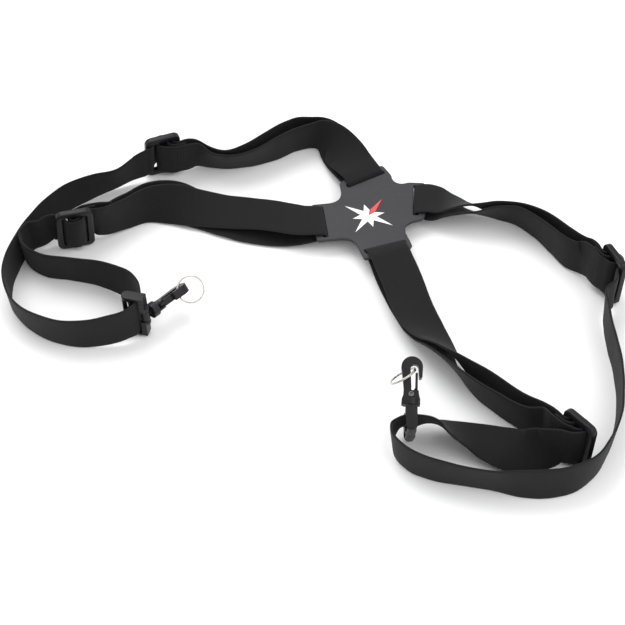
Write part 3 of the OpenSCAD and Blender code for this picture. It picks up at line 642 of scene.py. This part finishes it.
def softened(loop, rounds, free=1.0):
    """A closed loop of even points, its corners rounded where it is free to move."""
    p, free = np.array(loop), np.atleast_1d(free)[:, None]
    for _ in range(rounds):
        p = p + free * ((np.roll(p, 1, 0) + 2 * p + np.roll(p, -1, 0)) / 4 - p)
    return [tuple(k) for k in p]


def area(loop):
    return sum(a[0] * b[1] - b[0] * a[1] for a, b in zip(loop, loop[1:] + loop[:1])) / 2


def narrowed(loop, gap=1.0 * MM):
    """A slot's outline with its inner edge drawn close to the webbing that goes down through it."""
    centre = np.mean(loop, axis=0)
    slot = min(SLOTS, key=lambda k: math.dist(centre, place([PAD[0] + k[0], PAD[1] + k[1], 0])[:2]))
    out = np.array([math.cos(math.radians(slot[2])), math.sin(math.radians(slot[2]))])
    return [tuple(np.array(p) + (out * gap if (np.array(p) - centre) @ out < 0 else 0)) for p in loop]


def pad_layer(name, node, kind, bevel):
    """One layer of the pad, over its CAD node's outline and slots."""
    low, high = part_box(node)
    outline, *slots = [even(l, PAD_STEP) for l in top_loops(node)]
    holes = np.array([p for l in slots for p in l])
    reach = np.array([np.min(np.linalg.norm(holes - p, axis=1)) for p in outline])
    near, far = SLOT_EDGE
    outline = softened(outline, PAD_ROUNDS, np.clip((reach - near) / (far - near), 0.0, 1.0))
    loops = [softened(outline, 10)] + [softened(narrowed(l), 2) for l in slots]
    loops = [l if (area(l) > 0) == (i == 0) else l[::-1] for i, l in enumerate(loops)]
    loops = [[(x / MM, y / MM) for x, y in l] for l in loops]
    mesh = moulded(loops, (high.z - low.z) / MM, bevel)
    mesh.transform(Matrix.Scale(MM, 4))
    mesh.transform(Matrix.Translation((0, 0, (low.z + high.z) / 2)))
    smooth_by_angle(mesh, 50)
    piece = add(name, mesh)
    dress(piece, kind)
    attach(piece, "harness")
    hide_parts(node)
    return piece


face = pad_layer("pad_leather_face", "pad_face", "leather", 0.7)
pad_layer("pad_woven_lining", "pad_lining", "lining", 0.3)

for node, kind, slot in (("emblem_star", "white", "print_white"), ("emblem_needle", "red", "print_red")):
    dress(NODES[node], kind)


# ---------- Snap hooks ----------
HOOK_T, PIN_X, RIVET_X = 5.2, 4.6, 9.9
RING_D, RING_WIRE = 17.2, 1.3
WIRE_HALF, WIRE_STEP = (0.56, 0.31), 0.66  # half the flattened wire across and along, and its two turns' spacing
# How each hook is turned on its keeper, spun on its post, and where its ring passes through it and is turned
HOOKS = {
    "left": (60, -40, (25.3, -1.6, 1.5), (163, 28, -35)),
    "right": (-3, 0, (25.5, -1.7, -0.6), (155, 10, 122))}


def hook_axes(side):
    """The pin's centre and the hook's axes."""
    centre, turn = KEEPERS[side]
    yaw, spin = HOOKS[side][:2]
    keeper = turned(*turn)
    return np.array(centre) + keeper @ [PIN_X, 0, 0], keeper @ turned(0, 0, yaw) @ turned(spin, 0, 0)


def remoulded(name, node, body, kind, voxel, rounds=4, extra=None):
    """A CAD node's shape cast again with rounded moulded edges; extra adds to its mesh first."""
    mesh = NODES[node].data.copy()
    if extra:
        extra(mesh)
    piece = add(name, mesh)
    remesh = piece.modifiers.new("Cast", "REMESH")
    remesh.mode = "VOXEL"
    remesh.voxel_size = voxel * MM
    smooth = piece.modifiers.new("Soften", "SMOOTH")
    smooth.factor = 0.5
    smooth.iterations = rounds
    bpy.context.view_layer.update()
    cast = bpy.data.meshes.new_from_object(piece.evaluated_get(bpy.context.evaluated_depsgraph_get()))
    piece.modifiers.clear()
    piece.data = cast
    bpy.data.meshes.remove(mesh)
    cast.polygons.foreach_set("use_smooth", [True] * len(cast.polygons))
    dress(piece, kind)
    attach(piece, body)
    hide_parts(node)
    return piece


def boxes(mesh, centre, axes, solids):
    """Adds boxes to a mesh: each has its middle, its size and its tip's width, in a part's own frame."""
    bm = bmesh.new()
    bm.from_mesh(mesh)
    for (cx, cy, cz), (lx, ly, lz), taper in solids:
        corners = []
        for x in (-1, 1):
            k = 1 if x < 0 else taper
            corners += [(cx + x * lx / 2, cy + y * ly / 2 * k, cz + z * lz / 2) for y in (-1, 1) for z in (-1, 1)]
        points = place(np.array(centre) + np.array(corners) @ axes.T)
        v = [bm.verts.new(p) for p in points]
        for f in ((0, 1, 3, 2), (4, 6, 7, 5), (0, 4, 5, 1), (2, 3, 7, 6), (0, 2, 6, 4), (1, 5, 7, 3)):
            bm.faces.new([v[i] for i in f])
    bmesh.ops.recalc_face_normals(bm, faces=bm.faces)
    bm.to_mesh(mesh)
    bm.free()


def split_ring(side):
    """Two turns of flattened wire lying on each other, stepping across where the two ends meet."""
    pin, axes = hook_axes(side)
    eye, turn = HOOKS[side][2:]
    axes_ring = axes @ turned(*turn)
    radius = (RING_D - RING_WIRE) / 2
    centre = pin + axes @ np.array(eye) + axes_ring[:, 0] * radius
    steps, sides = 288, 12
    verts = []
    for i in range(steps + 1):
        turn_part = 2 * i / steps
        a = 2 * math.pi * turn_part + math.pi * 0.15
        step = min(1, max(0, (turn_part - 0.95) / 0.1))
        shift = (step * step * (3 - 2 * step) - 0.5) * WIRE_STEP
        end = min(1.0, 0.35 + 12 * min(turn_part, 2 - turn_part))
        for k in range(sides):
            b = 2 * math.pi * k / sides
            across = WIRE_HALF[0] * math.copysign(abs(math.cos(b)) ** 0.7, math.cos(b)) * end
            along = shift + WIRE_HALF[1] * math.copysign(abs(math.sin(b)) ** 0.7, math.sin(b)) * end
            r = radius + across
            verts.append(centre + axes_ring @ [r * math.cos(a), along, r * math.sin(a)])
    ends = [tuple(range(sides))[::-1], tuple(range(steps * sides, (steps + 1) * sides))]
    mesh = mesh_of("ring", verts, skin(steps + 1, sides) + ends)
    mesh.materials.append(material("steel"))
    piece = add(side + "_split_ring_wire", mesh)
    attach(piece, side + "_split_ring")
    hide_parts(side + "_ring")


def rivet(side):
    """A rivet with rolled hollow heads, standing on both faces of the hook."""
    pin, axes = hook_axes(side)
    half = HOOK_T / 2
    outline = [(0.0, half + 0.12), (0.45, half + 0.14), (0.7, half + 0.3), (0.85, half + 0.62), (1.05, half + 0.74),
               (1.35, half + 0.7), (1.6, half + 0.5), (1.7, half + 0.2), (1.66, half - 0.02), (1.16, half - 0.06)]
    outline += [(r, -h) for r, h in outline[::-1]]
    turns = 40
    verts = [pin + axes @ [RIVET_X + r * math.cos(a), r * math.sin(a), h]
             for r, h in outline[1:-1] for a in np.linspace(0, 2 * math.pi, turns, endpoint=False)]
    rows = len(outline) - 2
    ends = [tuple(range(turns)), tuple(range((rows - 1) * turns, rows * turns))]
    mesh = mesh_of("rivet", verts, skin(rows, turns) + ends)
    mesh.materials.append(material("rivet"))
    piece = add(side + "_hollow_rivet", mesh)
    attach(piece, side + "_snap_hook")
    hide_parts(side + "_rivet")


# The hook's shoulders: middle, size, and how much narrower each is at its tip
WINGS = [((5.9, y, 0), (4.2, 1.3, 4.0), 0.85) for y in (-4.65, 4.65)]
for side in HOOKS:
    pin, axes = hook_axes(side)
    remoulded(side + "_keeper_body", side + "_keeper", side + "_keeper_loop", "plastic", 0.25)
    remoulded(side + "_swivel_body", side + "_swivel", side + "_swivel_post", "plastic", 0.16, 3)
    remoulded(side + "_hook_body", side + "_hook", side + "_snap_hook", "plastic", 0.2, 4,
              lambda mesh: boxes(mesh, pin, axes, WINGS))
    remoulded(side + "_gate_spring", side + "_gate", side + "_snap_gate", "plastic", 0.14, 3)
    split_ring(side)
    rivet(side)


# ---------- Stitching ----------
STITCH_SPAN, STITCH_PITCH, STITCH_L, THREAD_R = 21.0, 2.6, 1.9, 0.26
STITCH_ROWS = (-8.4, -10.6, -12.8)  # along the webbing, from the slider's bar
STITCH_FACES = (-8.02, -4.66)  # the outer and inner faces of the doubled end
STITCH_RINGS = (-1, -0.8, -0.4, 0, 0.4, 0.8, 1)
THREAD_SIDES = 8


def stitch(x, y, z):
    """The points of one stitch across the webbing, its ends drawn down into it."""
    points = []
    for t in STITCH_RINGS:
        r = THREAD_R * math.sqrt(max(0.02, 1 - t * t))
        lift = -0.16 * t * t * math.copysign(1, y + 5)
        for k in range(THREAD_SIDES):
            a = 2 * math.pi * k / THREAD_SIDES
            points.append([x + r * math.cos(a) * 1.1, y + lift + r * math.sin(a), z + t * STITCH_L / 2])
    return points


def stitches(name, slider):
    """Rows of thread across the doubled end, on both faces, half sunk into the webbing."""
    centre, axes = slider_axes(slider)
    count = int(STITCH_SPAN / STITCH_PITCH)
    places = [(x, y, (n - (count - 1) / 2) * STITCH_PITCH)
              for x in STITCH_ROWS for y in STITCH_FACES for n in range(count)]
    last = (len(STITCH_RINGS) - 1) * THREAD_SIDES
    ends = [tuple(range(THREAD_SIDES)), tuple(range(last, last + THREAD_SIDES))]
    verts, faces = [], []
    for where in places:
        faces += [tuple(len(verts) + k for k in face) for face in skin(len(STITCH_RINGS), THREAD_SIDES) + ends]
        verts += [centre + axes @ point for point in stitch(*where)]
    mesh = mesh_of(name, verts, faces)
    mesh.materials.append(material("thread"))
    piece = add(name, mesh)
    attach(piece, slider + "_adjuster")


for name in SLIDERS:
    stitches(name + "_end_stitching", name)


# ---------- Floor, light and camera ----------
FLOOR_HALF = 3.0
# Where each lamp hangs, how wide it is, and its power
LIGHTS = {"key": ((-0.5, 0.7, 1.5), 1.2, 13), "fill": ((0.9, -0.5, 1.3), 1.4, 7)}
CAMERA_ELEVATION, CAMERA_DISTANCE, CAMERA_LENS = math.radians(47), 1.15, 110


def stage():
    """A pale floor in white surroundings."""
    bpy.context.scene.view_settings.view_transform = "Standard"
    mesh = bpy.data.meshes.new("floor")
    corners = [(x * FLOOR_HALF, y * FLOOR_HALF, 0) for x, y in ((-1, -1), (1, -1), (1, 1), (-1, 1))]
    mesh.from_pydata(corners, [], [(0, 1, 2, 3)])
    floor = add("floor", mesh)
    s = Shader("floor", Roughness=0.9, Specular_IOR_Level=0.1)
    cloud = s.noise(3.0, 2.0)
    mesh.materials.append(s.feed(Base_Color=s.ramp(cloud, (0.3, 0.93), (0.7, 0.95))))
    world = bpy.data.worlds.new("studio")
    bpy.context.scene.world = world
    world.use_nodes = True
    world.node_tree.nodes["Background"].inputs["Color"].default_value = (1, 1, 1, 1)
    world.node_tree.nodes["Background"].inputs["Strength"].default_value = 1.0


def light(name, where, size, power):
    """A round lamp turned to the middle of the harness."""
    data = bpy.data.lights.new(name, "AREA")
    data.shape = "DISK"
    data.size = size
    data.energy = power
    lamp = bpy.data.objects.new(name, data)
    bpy.context.scene.collection.objects.link(lamp)
    lamp.location = where
    lamp.rotation_euler = (-Vector(where)).to_track_quat("-Z", "Y").to_euler()


def camera():
    """The camera in front of the harness, looking down at it."""
    data = bpy.data.cameras.new("camera")
    data.lens = CAMERA_LENS
    data.sensor_width = 36
    data.clip_start = 0.01
    eye = bpy.data.objects.new("camera", data)
    bpy.context.scene.collection.objects.link(eye)
    aim = Vector(place([0, 0, 0]))
    back, up = CAMERA_DISTANCE * math.cos(CAMERA_ELEVATION), CAMERA_DISTANCE * math.sin(CAMERA_ELEVATION)
    eye.location = aim + Vector((0, -back, up))
    eye.rotation_euler = (math.pi / 2 - CAMERA_ELEVATION, 0, 0)
    bpy.context.scene.camera = eye


stage()
for name, (where, size, power) in LIGHTS.items():
    light(name, where, size, power)
camera()
